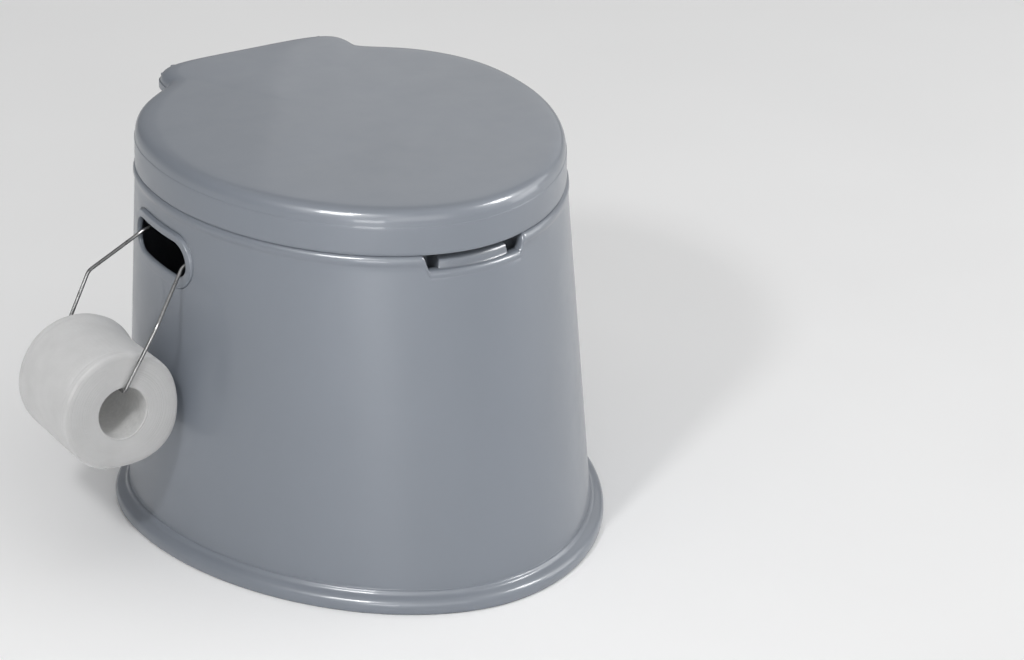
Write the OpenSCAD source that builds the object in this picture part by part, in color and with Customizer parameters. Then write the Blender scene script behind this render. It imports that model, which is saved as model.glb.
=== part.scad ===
// Portable camp toilet: a tapered oval body with a lift-out bucket, a hinged seat
// and a hinged lid, and a wire toilet-roll holder hooked into one handle opening.
// Millimetres. The front is -Y, Z is up, the origin is the middle of the foot on
// the floor. The roll hangs on the -X side.

/* [Body] */
// Height of the body's top lip
lip_height = 310; // [290:1:330]
// Half width of the body at the lip
lip_half_width = 179; // [175:1:182]
// How far the wall spreads on each side from the lip to the foot
wall_spread = 18.5; // [12:0.5:22]
// Wall thickness of the body shell
wall = 3; // [2.5:0.5:4]
// Reach of the foot bead beyond the wall
foot_reach = 12; // [9:0.5:14]

/* [Openings in the body] */
// Length of each handle opening
handle_length = 92; // [86:1:96]
// Height of each handle opening
handle_height = 31; // [27:1:33]
// Half width of the finger notch in the front lip
notch_half_width = 44; // [30:1:50]

/* [Seat and lid] */
// Half width of the seat
seat_half_width = 166; // [160:1:168]
// Half width of the hole in the seat
hole_half_width = 101; // [96:1:103]
// Radius of the hinge barrels
barrel_r = 8; // [7:0.5:8]
// Radius of the hinge pins
pin_r = 3; // [2.5:0.5:4]

/* [Bucket] */
// Height of the bucket floor above the ground
bucket_floor = 72; // [50:1:120]
// Half width of the straight grip bar in the bucket lid
grip_half_width = 8; // [6:0.5:12]

/* [Toilet roll] */
// Outer radius of the paper roll
roll_r = 54.5; // [45:0.5:58]
// Inner radius of the cardboard core
core_r = 21.5; // [19:0.5:23]
// Length of the roll
roll_length = 100; // [92:1:102]
// Radius of the holder's wire
wire_r = 1.6; // [1.2:0.1:1.8]

/* [Node] */
// Which piece to draw

/* [Hidden] */

grey = [0.54, 0.56, 0.6];
dark = [0.08, 0.08, 0.09];
steel = [0.62, 0.62, 0.62];
card = [0.5, 0.48, 0.46];
paper = [0.9, 0.9, 0.9];

around = 96;          // points in every oval outline
widest = 44;          // Y of the widest section of the body
top = lip_height;

// An oval is [half width, front length, rear length, front exponent, rear exponent, Y].
lip_oval = [lip_half_width, 226, 169, 1.89, 2.4, widest];
foot_oval = [lip_half_width + wall_spread, 258, 169.5, 1.89, 2.3, widest];
seat_oval = [seat_half_width, 209, 158, 1.89, 2.4, widest];
hole_oval = [hole_half_width, 158, 115, 1.95, 2.2, widest];
bucket_low = [76, 125, 88, 1.95, 2.2, widest];

foot_top = 17;        // height of the crease above the foot bead
lid_base = top + 0.3;
lid_edge = top + 31;
lid_inset = 1;        // the lid's edge is this far inside the lip

// The hinge axis runs along X.
axis_y = 234;
axis_z = top + 22;
seat_barrel = 49.5;   // half length of the barrel on the seat
knuckle = [52, 68];   // from and to, along X, of each body knuckle
lug = [70.5, 74.5];   // from and to, along X, of each lid lug
pin_ends = [42, 76];
fit = 0.05;           // running clearance around the pins

tail_half_width = 95;
tail_middle = 148;    // measured from the widest section, as the next is
tail_end = 202.5;

handle_y = 46.5;
handle_z = top - 44;
bend_x = 169;         // the holder's pivot, behind the wall
bend_z = top - 43;
roll_y = 36;
roll_z = top - 159.5;
roll_x = side_at(roll_z) + roll_r + 4;
bar_z = roll_z + core_r - wire_r - 0.25;

function power(v, e) = (v < 0 ? -1 : 1) * pow(abs(v), e);
function blend(a, b, t) = a * (1 - t) + b * t;
function grow(e, d) = [e[0] + d, e[1] + d, e[2] + d, e[3], e[4], e[5]];
function disc(r, y) = [r, r, r, 2, 2, y];
function exponent(e, s) = 2 / (s < 0 ? e[3] : e[4]);
function reach(e, s) = s < 0 ? e[1] : e[2];
function oval_point(e, a) =
  let (c = cos(a), s = sin(a), n = exponent(e, s))
  [e[0] * power(c, n), e[5] + reach(e, s) * power(s, n)];
function ring(e, z) =
  [for (i = [0:around - 1]) let (p = oval_point(e, 360 * i / around)) [p[0], p[1], z]];

// The body wall at height z, moved outward by d.
function wall_oval(z, d) = grow(blend(lip_oval, foot_oval, (top - z) / (top - foot_top)), d);
function side_at(z) = lip_half_width + wall_spread * (top - z) / (top - foot_top);
// Between the seat's outer edge (0) and its hole (1).
function seat_mix(t) = blend(seat_oval, hole_oval, t);

// The lid's outline: the oval of the lip with a squared tail for the hinge.
function oval_half(w, l, y) = y >= l ? 0 : w * pow(1 - pow(y / l, lip_oval[4]), 1 / lip_oval[4]);
function tail_half(w, l, y) =
  let (t = abs(y - tail_middle) / l) t >= 1 ? 0 : w * pow(1 - pow(t, 5), 0.2);
function lid_half(y, d) =
  let (a = oval_half(lip_oval[0] - lid_inset - d, lip_oval[2] - d, y),
       b = tail_half(tail_half_width - d, tail_end - tail_middle - d, y))
  pow(pow(a, 7) + pow(b, 7), 1 / 7);
function lid_point(a, d, k) =
  let (c = cos(a), s = sin(a), y = (tail_end - d) * s,
       p = oval_point(grow(lip_oval, -lid_inset - d), a),
       x = (c < 0 ? -1 : 1) * (abs(c) < 0.001 ? 0 : lid_half(y, d)))
  s < 0 ? [p[0] * k, widest + (p[1] - widest) * k] : [x * k, widest + y * k];
function rise(y) = let (t = max(0, min(1, (y - widest - 148) / 24))) 23.5 * t * t * (3 - 2 * t);
function lid_ring(d, z, k = 1) =
  [for (i = [0:around - 1]) let (p = lid_point(360 * i / around, d, k)) [p[0], p[1], z]];
function lid_rim(d) =
  [for (i = [0:around - 1]) let (p = lid_point(360 * i / around, d, 1))
    [p[0], p[1], lid_base + rise(p[1])]];

// A skin over rings. Closed skins join the last ring to the first; others are capped.
module skin(rings, closed = false) {
  n = len(rings);
  m = len(rings[0]);
  points = [for (r = rings) each r];
  last = closed ? n - 1 : n - 2;
  sides = [for (i = [0:last]) for (j = [0:m - 1])
    let (k = (j + 1) % m, u = (i + 1) % n,
         a = i * m + j, b = i * m + k, c = u * m + j, d = u * m + k)
    each [[a, c, d], [a, d, b]]];
  low = [for (j = [0:m - 1]) j];
  high = [for (j = [0:m - 1]) n * m - 1 - j];
  polyhedron(points, closed ? sides : concat(sides, [low, high]), convexity = 10);
}

// The points of a path with its corners rounded off over a distance d.
function unit(v) = v / norm(v);
function corner(p, q, r, d) =
  let (a = q + unit(p - q) * d, b = q + unit(r - q) * d)
  [for (t = [0:0.2:1]) a * (1 - t) * (1 - t) + q * 2 * t * (1 - t) + b * t * t];
function rounded(path, d) =
  [path[0], for (i = [1:len(path) - 2]) each corner(path[i - 1], path[i], path[i + 1], d),
   path[len(path) - 1]];

// A round wire along a path that stays near the plane square to facing.
module wire(path, r, facing) {
  n = len(path) - 1;
  skin([for (i = [0:n])
    let (t = unit(path[min(n, i + 1)] - path[max(0, i - 1)]),
         u = unit(cross(facing, t)), v = cross(t, u))
    [for (k = [0:15]) path[i] + r * (cos(22.5 * k) * u + sin(22.5 * k) * v)]]);
}

// A cylinder along X between two distances from the middle, on one side.
module across(side, from_x, to_x, r) {
  translate([side > 0 ? from_x : -to_x, axis_y, axis_z])
    rotate([0, 90, 0])
      cylinder(h = to_x - from_x, r = r, $fn = 64);
}

// A flat-sided slot with round ends, lying in the YZ plane and extruded along X.
module slot(length, height, depth) {
  r = height / 2;
  for (s = [-1, 1])
    translate([0, s * (length / 2 - r), 0])
      rotate([0, 90, 0])
        cylinder(h = depth, r = r, $fn = 64);
  translate([0, -length / 2 + r, -r])
    cube([depth, length - 2 * r, height]);
}

module body_shell() {
  skin([
    ring(wall_oval(foot_top, foot_reach - 2), 0),
    ring(wall_oval(foot_top, foot_reach - 0.5), 2),
    ring(wall_oval(foot_top, foot_reach), 6.5),
    ring(wall_oval(foot_top, foot_reach - 0.7), 10),
    ring(wall_oval(foot_top, foot_reach - 2.6), 12.3),
    ring(wall_oval(foot_top, foot_reach - 7.3), 14.4),
    ring(wall_oval(foot_top, 2.8), 15.6),
    ring(wall_oval(foot_top, 1.9), foot_top),
    ring(wall_oval(foot_top, 1), foot_top + 1),
    ring(wall_oval(foot_top + 1.2, 0), foot_top + 1.2),
    ring(wall_oval(top - 8.5, 0), top - 8.5),
    ring(wall_oval(top - 7, 0.9), top - 7),
    ring(wall_oval(top - 4, 1.3), top - 4),
    ring(wall_oval(top - 1.2, 0.4), top - 1.2),
    ring(wall_oval(top, -1.6), top),
    ring(wall_oval(top, -4.6), top),
    ring(wall_oval(top - 1.2, -6.4), top - 1.2),
    ring(wall_oval(top - 5, -7.4), top - 5),
    ring(grow(hole_oval, 10), top - 5),
    ring(grow(hole_oval, 9), top - 12),
    ring(grow(hole_oval, 0.5), top - 12),
    ring(grow(hole_oval, 0.5), top - 15.5),
    ring(grow(hole_oval, 12.5), top - 15.5),
    ring(grow(hole_oval, 13.5), top - 8.5),
    ring(wall_oval(top - 8.5, -wall - 2), top - 8.5),
    ring(wall_oval(top - 12, -wall), top - 12),
    ring(wall_oval(foot_top + 1, -wall), foot_top + 1),
    ring(wall_oval(foot_top, foot_reach - 9), foot_top - 5),
    ring(wall_oval(foot_top, foot_reach - 5.5), 7),
    ring(wall_oval(foot_top, foot_reach - 5.5), 0)
  ], closed = true);
}

// Solid behind the finger notch, so that cutting it leaves a riser and a ledge.
module notch_backing() {
  translate([0, 0, top - 23])
    linear_extrude(height = 17)
      intersection() {
        polygon([for (i = [0:around - 1]) oval_point(wall_oval(top - 10, -1.5), 360 * i / around)]);
        translate([-notch_half_width - 4, -250])
          square([2 * notch_half_width + 8, 250 + widest - 206.5]);
      }
}

module notch_cut() {
  translate([0, 0, top - 19])
    linear_extrude(height = 30)
      offset(r = 5, $fn = 24) offset(delta = -5)
        translate([-notch_half_width, -260])
          square([2 * notch_half_width, 260 + widest - 211]);
}

// A raised surround with an upright face, so it stands proud of the leaning wall at
// its top and runs out at its bottom.
module handle_pad(side) {
  low = handle_z - 30;
  high = handle_z + 30;
  intersection() {
    mirror([side > 0 ? 0 : 1, 0, 0])
      translate([150, handle_y, handle_z - 1.5])
        slot(handle_length + 15, handle_height + 18, 50);
    skin([
      ring(wall_oval(low, 0), low),
      ring(wall_oval(low, 0), high),
      ring(wall_oval(high, -wall / 2), high),
      ring(wall_oval(low, -wall / 2), low)
    ], closed = true);
  }
}

module handle_cut(side) {
  mirror([side > 0 ? 0 : 1, 0, 0])
    translate([150, handle_y, handle_z])
      slot(handle_length, handle_height, 50);
}

module hinge_arm(side) {
  difference() {
    union() {
      across(side, knuckle[0], knuckle[1], barrel_r);
      translate([side > 0 ? knuckle[0] : -knuckle[1], 206, axis_z - 7.4])
        cube([knuckle[1] - knuckle[0], axis_y - 206, 13]);
      translate([side > 0 ? knuckle[0] : -knuckle[1], 200.5, top - 8])
        cube([knuckle[1] - knuckle[0], 9.5, axis_z - top + 13.6]);
    }
    across(side, knuckle[0] - 1, knuckle[1] + 1, pin_r);
  }
}

// The raised ends of the hinge recess, each with a slot in its top.
module rear_boss(side) {
  translate([side * 87.5, 196.3, top - 7])
    difference() {
      union() {
        translate([-5.5, -3.5, 0]) cube([11, 7, 16]);
        translate([0, 3.5, 16])
          rotate([90, 0, 0])
            cylinder(h = 7, r = 5.5, $fn = 48);
      }
      translate([-1.5, -6, 11]) cube([3, 12, 20]);
    }
}

module outer_body() {
  color(grey)
    difference() {
      union() {
        body_shell();
        notch_backing();
        for (side = [-1, 1]) {
          handle_pad(side);
          hinge_arm(side);
          rear_boss(side);
        }
      }
      notch_cut();
      for (side = [-1, 1]) handle_cut(side);
    }
}

module seat() {
  color(grey)
    difference() {
      union() {
        skin([
          ring(seat_oval, top - 3.5),
          ring(grow(seat_oval, -0.5), top + 6),
          ring(grow(seat_oval, -2), top + 11),
          ring(grow(seat_oval, -6), top + 15),
          ring(grow(seat_oval, -14), top + 17.6),
          ring(seat_mix(0.45), top + 19),
          ring(seat_mix(0.7), top + 17.4),
          ring(grow(hole_oval, 8), top + 13.5),
          ring(grow(hole_oval, 3), top + 9.5),
          ring(grow(hole_oval, 0.5), top + 4),
          ring(hole_oval, top - 3.5),
          ring(grow(hole_oval, 3), top - 3.5),
          ring(grow(hole_oval, 3.5), top + 3.5),
          ring(grow(hole_oval, 6), top + 9),
          ring(seat_mix(0.7), top + 14),
          ring(seat_mix(0.45), top + 15.8),
          ring(grow(seat_oval, -14), top + 14.6),
          ring(grow(seat_oval, -7), top + 11.5),
          ring(grow(seat_oval, -4), top + 6),
          ring(grow(seat_oval, -3), top - 3.5)
        ], closed = true);
        across(1, -seat_barrel, seat_barrel, barrel_r);
        seat_tail();
      }
      for (side = [-1, 1]) across(side, pin_ends[0] - 0.5, seat_barrel + 1, pin_r + fit);
    }
}

// A tongue from the back of the ring up to the hinge barrel.
module seat_tail() {
  lift = axis_z - top;
  translate([-seat_barrel, 0, 0])
    rotate([90, 0, 90])
      linear_extrude(height = 2 * seat_barrel)
        polygon([
          [193, top + 8], [201, top + 4.5], [axis_y - 8, axis_z - 7],
          [axis_y, axis_z - barrel_r + 0.1], [axis_y, axis_z + barrel_r - 0.1],
          [axis_y - 9, top + lift + 3], [204, top + 17], [193, top + 14.5]
        ]);
}

module lid_lug(side) {
  difference() {
    union() {
      across(side, lug[0], lug[1], barrel_r);
      translate([side > 0 ? lug[0] : -lug[1], axis_y - 8, axis_z])
        cube([lug[1] - lug[0], 14, 15.3]);
    }
    across(side, lug[0] - 1, lug[1] + 1, pin_r + fit);
  }
}

module lid() {
  color(grey)
    union() {
      difference() {
        skin([
          lid_ring(8, lid_edge + 7.8, 0.3),
          lid_ring(8, lid_edge + 7.2, 0.6),
          lid_ring(12, lid_edge + 5.2),
          lid_ring(6, lid_edge + 4.2),
          lid_ring(4, lid_edge + 1),
          lid_rim(3),
          lid_rim(0.4),
          lid_ring(0.8, lid_edge),
          lid_ring(1.6, lid_edge + 3),
          lid_ring(3.6, lid_edge + 5.8),
          lid_ring(7, lid_edge + 7.6),
          lid_ring(13, lid_edge + 8.4),
          lid_ring(8, lid_edge + 10, 0.6),
          lid_ring(8, lid_edge + 10.6, 0.3)
        ]);
        for (side = [-1, 1])
          translate([side > 0 ? knuckle[0] - 1.2 : -knuckle[1] - 1.2, axis_y + 2, axis_z - 8])
            cube([knuckle[1] - knuckle[0] + 2.4, 30, 20]);
      }
      for (side = [-1, 1]) lid_lug(side);
    }
}

module hinge_pin(side) {
  color(steel) across(side, pin_ends[0], pin_ends[1], pin_r);
}

module inner_bucket() {
  color(dark)
    skin([
      ring(grow(bucket_low, -4), bucket_floor),
      ring(bucket_low, bucket_floor + 4),
      ring(grow(hole_oval, -4), top - 20),
      ring(grow(hole_oval, -1), top - 12.5),
      ring(grow(hole_oval, -1), top - 11.5),
      ring(grow(hole_oval, 7), top - 11.5),
      ring(grow(hole_oval, 8), top - 9.5),
      ring(grow(hole_oval, 7.2), top - 7),
      ring(grow(hole_oval, 3), top - 5),
      ring(grow(hole_oval, -1), top - 5.6),
      ring(grow(hole_oval, -4), top - 8.5),
      ring(grow(hole_oval, -5), top - 17),
      ring(grow(hole_oval, -7.5), top - 17),
      ring(grow(hole_oval, -7), top - 22),
      ring(grow(bucket_low, -2.5), bucket_floor + 6),
      ring(grow(bucket_low, -6), bucket_floor + 2.5)
    ]);
}

module bucket_lid() {
  recess_y = 28;
  color(dark)
    union() {
      skin([
        ring(disc(56, recess_y), top - 30),
        ring(disc(61.5, recess_y), top - 24),
        ring(grow(hole_oval, -20), top - 18.5),
        ring(grow(hole_oval, -8.5), top - 19),
        ring(grow(hole_oval, -8.5), top - 16.7),
        ring(grow(hole_oval, -5.3), top - 16.7),
        ring(grow(hole_oval, -5.6), top - 14),
        ring(grow(hole_oval, -8), top - 13.4),
        ring(grow(hole_oval, -18), top - 15.6),
        ring(disc(61, recess_y), top - 16),
        ring(disc(59, recess_y), top - 17.5),
        ring(disc(56, recess_y), top - 26),
        ring(disc(53, recess_y), top - 27.5)
      ]);
      intersection() {
        translate([-grip_half_width, recess_y - 60, top - 28])
          cube([2 * grip_half_width, 120, 12.5]);
        translate([0, recess_y, top - 29])
          cylinder(h = 20, r = 59, $fn = 96);
      }
    }
}

// Each leg comes out of the opening, kinks, and runs down to one end of the bar.
module roll_holder() {
  hook = handle_length / 2 - 5;
  bar = roll_length / 2 + 13;
  color(steel)
    wire(rounded([
      [-bend_x, handle_y - hook - 12, bend_z],
      [-bend_x, handle_y - hook, bend_z],
      [-bend_x - 11, handle_y - hook, bend_z - 5],
      [-roll_x + 30, handle_y - bar - 5, roll_z + 75.5],
      [-roll_x, handle_y - bar, bar_z],
      [-roll_x, handle_y + bar, bar_z],
      [-roll_x + 30, handle_y + bar + 5, roll_z + 75.5],
      [-bend_x - 11, handle_y + hook, bend_z - 5],
      [-bend_x, handle_y + hook, bend_z],
      [-bend_x, handle_y + hook + 12, bend_z]
    ], 4), wire_r, [0.8, 0, -0.6]);
}

// A tube along Y around the roll's axis.
module tube(inner, outer) {
  translate([-roll_x, roll_y + roll_length / 2, roll_z])
    rotate([90, 0, 0])
      difference() {
        cylinder(h = roll_length, r = outer, $fn = 96);
        translate([0, 0, -1]) cylinder(h = roll_length + 2, r = inner, $fn = 96);
      }
}

module roll_core() {
  color(card) tube(core_r, core_r + 1.4);
}

module toilet_paper() {
  color(paper) tube(core_r + 1.4, roll_r);
}

outer_body();
seat();
lid();
hinge_pin(-1);  // hinge_pin_left
hinge_pin(1);  // hinge_pin_right
inner_bucket();
bucket_lid();
roll_holder();
roll_core();
toilet_paper();
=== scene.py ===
# The portable camp toilet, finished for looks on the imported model. The object's lengths are
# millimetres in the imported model's frame and become metres when a mesh is made; the
# materials, the lights and the camera are in metres.
import math

import bmesh
import bpy
from mathutils import Matrix, Vector


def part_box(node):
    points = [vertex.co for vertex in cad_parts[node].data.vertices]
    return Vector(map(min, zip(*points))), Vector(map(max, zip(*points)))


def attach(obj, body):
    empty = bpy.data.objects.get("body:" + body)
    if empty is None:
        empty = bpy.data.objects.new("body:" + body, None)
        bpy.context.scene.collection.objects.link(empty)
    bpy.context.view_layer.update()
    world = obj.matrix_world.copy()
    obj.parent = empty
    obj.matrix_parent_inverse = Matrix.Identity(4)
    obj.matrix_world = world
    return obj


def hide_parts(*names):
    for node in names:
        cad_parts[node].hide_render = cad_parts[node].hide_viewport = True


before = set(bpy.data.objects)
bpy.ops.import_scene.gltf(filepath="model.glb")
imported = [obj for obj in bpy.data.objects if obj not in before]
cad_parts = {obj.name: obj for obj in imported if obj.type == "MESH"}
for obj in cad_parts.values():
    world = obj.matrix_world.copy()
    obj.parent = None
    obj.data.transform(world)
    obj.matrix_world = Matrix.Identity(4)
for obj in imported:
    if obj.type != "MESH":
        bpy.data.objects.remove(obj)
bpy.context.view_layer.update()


def span(node):
    """The corners of a node's box."""
    low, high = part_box(node)
    return [c * 1000 for c in low], [c * 1000 for c in high]


# ------------------------ the shared outlines
LID_LOW = span("lid")[0]
BODY_HIGH = span("outer_body")[1]
ROLL_LOW, ROLL_HIGH = span("toilet_paper")
PIN_LOW, PIN_HIGH = span("hinge_pin_right")

TOP = LID_LOW[2] - 0.3  # height of the body's lip
WIDEST = 44.0  # Y of the widest section
FOOT_TOP = 17.0  # height at which the foot ends and the wall starts
SHELL = 3.0  # thickness of the body's wall

# An oval is its half width, its reach to the front and to the back of its widest section,
# the exponents of its front and its back, and the Y of its widest section.
LIP = (179.0, 226.0, 169.0, 1.89, 2.4, WIDEST)
FOOT = (BODY_HIGH[0] - 12.0, 258.0, 169.5, 1.89, 2.3, WIDEST)
SEAT = (166.0, 209.0, 158.0, 1.89, 2.4, WIDEST)
HOLE = (101.0, 158.0, 115.0, 1.95, 2.2, WIDEST)
BUCKET_LOW = (76.0, 125.0, 88.0, 1.95, 2.2, WIDEST)
SKIRT = 31.0  # height of the lid's skirt in front
LID_BASE, LID_EDGE = TOP + 0.3, TOP + SKIRT
AXIS_Y, AXIS_Z = (PIN_LOW[1] + PIN_HIGH[1]) / 2, (PIN_LOW[2] + PIN_HIGH[2]) / 2
BARREL_R = 8.0  # outside of the hinge's knuckles
KNUCKLE_X = 60.0  # middle of each body arm
HANDLE_Y, HANDLE_Z = 46.5, TOP - 44.0
HANDLE_HALF, HANDLE_R = 30.5, 15.5  # straight part and end radius of a handle opening
ROLL_X, ROLL_Y, ROLL_Z = [(a + b) / 2 for a, b in zip(ROLL_LOW, ROLL_HIGH)]
ROLL_R = (ROLL_HIGH[0] - ROLL_LOW[0]) / 2
ROLL_HALF = (ROLL_HIGH[1] - ROLL_LOW[1]) / 2
CORE_R = 21.5  # inside of the cardboard tube
EVEN_ANGLES = [1.5 * i for i in range(240)]  # degrees round an oval


def power(v, e):
    """A power that keeps the sign."""
    return math.copysign(abs(v) ** e, v)


def mix(a, b, t):
    """Two ovals mixed, with a share t of the second."""
    return tuple(p * (1 - t) + q * t for p, q in zip(a, b))


def grow(e, d):
    """An oval moved outward by d."""
    return (e[0] + d, e[1] + d, e[2] + d, e[3], e[4], e[5])


def smooth(a, b, v):
    """0 at a and 1 at b, with a soft start and end."""
    t = max(0.0, min(1.0, (v - a) / (b - a)))
    return t * t * (3 - 2 * t)


def oval_point(e, degrees):
    """A point of an oval; 0 is to the right and 90 is behind."""
    c, s = math.cos(math.radians(degrees)), math.sin(math.radians(degrees))
    n = 2 / (e[3] if s < 0 else e[4])
    reach = e[1] if s < 0 else e[2]
    return e[0] * power(c, n), e[5] + reach * power(s, n)


def wall(z, d=0.0):
    """The oval of the wall's outer face at that height, moved outward by d."""
    z = max(z, FOOT_TOP)
    return grow(mix(LIP, FOOT, (TOP - z) / (TOP - FOOT_TOP)), d)


def wall_x(y, z):
    """Half width of the wall's outer face at that y and z."""
    e = wall(z)
    t = y - e[5]
    reach, n = (e[1], e[3]) if t < 0 else (e[2], e[4])
    return e[0] * max(0.0, 1 - abs(t / reach) ** n) ** (1 / n)


# ------------------------ making meshes
def mesh_object(name, points, faces, sharp):
    """A smooth-shaded object in metres, with edges over that angle kept sharp."""
    mesh = bpy.data.meshes.new(name)
    mesh.from_pydata([Vector(p) * 0.001 for p in points], [], faces)
    mesh.validate()
    bm = bmesh.new()
    bm.from_mesh(mesh)
    bmesh.ops.recalc_face_normals(bm, faces=bm.faces)
    bm.to_mesh(mesh)
    bm.free()
    for polygon in mesh.polygons:
        polygon.use_smooth = True
    if sharp:
        mesh.set_sharp_from_angle(angle=math.radians(sharp))
    obj = bpy.data.objects.new(name, mesh)
    bpy.context.scene.collection.objects.link(obj)
    return obj


def skin(rings, closed=False):
    """Points and faces of a skin over rings of points, capped at both ends unless closed."""
    n, m = len(rings), len(rings[0])
    points = [p for ring in rings for p in ring]
    faces = []
    for i in range(n if closed else n - 1):
        u = (i + 1) % n
        for j in range(m):
            k = (j + 1) % m
            faces.append((i * m + j, i * m + k, u * m + k, u * m + j))
    if not closed:
        faces.append(tuple(range(m)))
        faces.append(tuple(n * m - 1 - j for j in range(m)))
    return points, faces


def rounded(profile, sharp=(), steps=4):
    """A profile with a smooth curve through its points, except at the sharp ones."""
    out = []
    for i in range(len(profile) - 1):
        p1, p2 = profile[i], profile[i + 1]
        p0 = profile[i - 1] if i > 0 and i not in sharp else p1
        p3 = profile[i + 2] if i + 2 < len(profile) and i + 1 not in sharp else p2
        for s in range(steps):
            t = s / steps
            point = []
            for a, b, c, d in zip(p0, p1, p2, p3):
                slope, bend, twist = c - a, 2 * a - 5 * b + 4 * c - d, 3 * b - a - 3 * c + d
                point.append(0.5 * (2 * b + slope * t + bend * t * t + twist * t**3))
            out.append(tuple(point))
    out.append(profile[-1])
    return out


def prism(outline, low, high, bevel, segments, axis="x"):
    """An outline in the other two axes, extruded along one, with its edges bevelled."""
    bm = bmesh.new()
    ends = []
    for at in (low, high):
        ring = []
        for u, v in outline:
            point = {"x": (at, u, v), "y": (u, at, v), "z": (u, v, at)}[axis]
            ring.append(bm.verts.new(point))
        ends.append(ring)
    n = len(outline)
    bm.faces.new(ends[0])
    bm.faces.new(list(reversed(ends[1])))
    for i in range(n):
        j = (i + 1) % n
        bm.faces.new((ends[0][i], ends[1][i], ends[1][j], ends[0][j]))
    bmesh.ops.recalc_face_normals(bm, faces=bm.faces)
    if bevel:
        edges = [e for e in bm.edges if e.calc_face_angle(0) > math.radians(35)]
        bmesh.ops.bevel(
            bm, geom=edges, offset=bevel, segments=segments, profile=0.5, affect="EDGES"
        )
    bm.verts.ensure_lookup_table()
    points = [tuple(v.co) for v in bm.verts]
    faces = [tuple(v.index for v in f.verts) for f in bm.faces]
    bm.free()
    return points, faces


def block(low, high, bevel, segments):
    """A box between two corners."""
    outline = [(low[1], low[2]), (high[1], low[2]), (high[1], high[2]), (low[1], high[2])]
    return prism(outline, low[0], high[0], bevel, segments)


def arc(cy, cz, r, start, end, steps):
    points = []
    for i in range(steps + 1):
        t = math.radians(start + (end - start) * i / steps)
        points.append((cy + r * math.cos(t), cz + r * math.sin(t)))
    return points


def joined(*parts):
    """Several meshes as one, each still closed in itself."""
    points, faces = [], []
    for part_points, part_faces in parts:
        base = len(points)
        points += part_points
        faces += [tuple(i + base for i in f) for f in part_faces]
    return points, faces


def mirrored(part):
    """The same mesh on the other side."""
    return [(-p[0], p[1], p[2]) for p in part[0]], [tuple(reversed(f)) for f in part[1]]


# ------------------------ materials
def material(name):
    """A new material, with its nodes, its links and its shader."""
    mat = bpy.data.materials.new(name)
    mat.use_nodes = True
    nodes, links = mat.node_tree.nodes, mat.node_tree.links
    shader = nodes["Principled BSDF"]
    return mat, nodes, links, shader


def noise(nodes, links, scale, detail, rough=0.5, source=None):
    """Noise over a source, or over the object's own coordinates."""
    node = nodes.new("ShaderNodeTexNoise")
    node.inputs["Scale"].default_value = scale
    node.inputs["Detail"].default_value = detail
    node.inputs["Roughness"].default_value = rough
    if source is None:
        source = nodes.new("ShaderNodeTexCoord").outputs["Object"]
    links.new(source, node.inputs["Vector"])
    return node


def ramp(nodes, links, source, stops):
    """Colours along a value; each stop is a place and either a grey or a colour."""
    node = nodes.new("ShaderNodeValToRGB")
    links.new(source, node.inputs["Fac"])
    while len(node.color_ramp.elements) < len(stops):
        node.color_ramp.elements.new(0.5)
    for element, (at, tone) in zip(node.color_ramp.elements, stops):
        colour = tone if isinstance(tone, tuple) else (tone,) * 3
        element.position = at
        element.color = (*colour, 1)
    return node


def vary(nodes, links, pattern, low, high, target):
    """Sends a noise pattern to an input, as tones between two greys or colours."""
    tone = ramp(nodes, links, pattern.outputs["Fac"], [(0.3, low), (0.7, high)])
    links.new(tone.outputs["Color"], target)


def bump(nodes, links, height, strength, distance, normal=None):
    node = nodes.new("ShaderNodeBump")
    node.inputs["Strength"].default_value = strength
    node.inputs["Distance"].default_value = distance
    links.new(height, node.inputs["Height"])
    if normal is not None:
        links.new(normal, node.inputs["Normal"])
    return node


def moulded_plastic(name, dark, light, rough_low, rough_high, coat, shine):
    """Moulded plastic: faint flow variation in tone and gloss, and a very fine grain."""
    mat, nodes, links, shader = material(name)
    where = nodes.new("ShaderNodeTexCoord").outputs["Object"]
    stretch = nodes.new("ShaderNodeMapping")
    stretch.inputs["Scale"].default_value = (1.0, 1.0, 0.3)
    links.new(where, stretch.inputs["Vector"])
    flow = noise(nodes, links, 7.0, 3.0, 0.5, stretch.outputs["Vector"])
    tone = ramp(nodes, links, flow.outputs["Fac"], [(0.35, dark), (0.65, light)])
    links.new(tone.outputs["Color"], shader.inputs["Base Color"])
    patches = noise(nodes, links, 30.0, 5.0, 0.6, where)
    vary(nodes, links, patches, rough_low, rough_high, shader.inputs["Roughness"])
    fine = noise(nodes, links, 1400.0, 2.0, 0.5, where)
    waves = noise(nodes, links, 26.0, 2.0, 0.4, where)
    soft = bump(nodes, links, waves.outputs["Fac"], 0.1, 0.0006)
    tiny = bump(nodes, links, fine.outputs["Fac"], 0.1, 0.00006, soft.outputs["Normal"])
    links.new(tiny.outputs["Normal"], shader.inputs["Normal"])
    links.new(tiny.outputs["Normal"], shader.inputs["Coat Normal"])
    shader.inputs["IOR"].default_value = 1.49
    shader.inputs["Specular IOR Level"].default_value = shine
    shader.inputs["Coat Weight"].default_value = coat
    shader.inputs["Coat Roughness"].default_value = 0.07
    return mat


grey_mat = moulded_plastic(
    "grey_plastic_look",
    dark=(0.186, 0.207, 0.24),
    light=(0.198, 0.22, 0.256),
    rough_low=0.34,
    rough_high=0.42,
    coat=0.45,
    shine=0.5,
)
black_mat = moulded_plastic(
    "black_plastic_look",
    dark=(0.004, 0.004, 0.0044),
    light=(0.0062, 0.0062, 0.0066),
    rough_low=0.08,
    rough_high=0.15,
    coat=0.0,
    shine=0.2,
)


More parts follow.
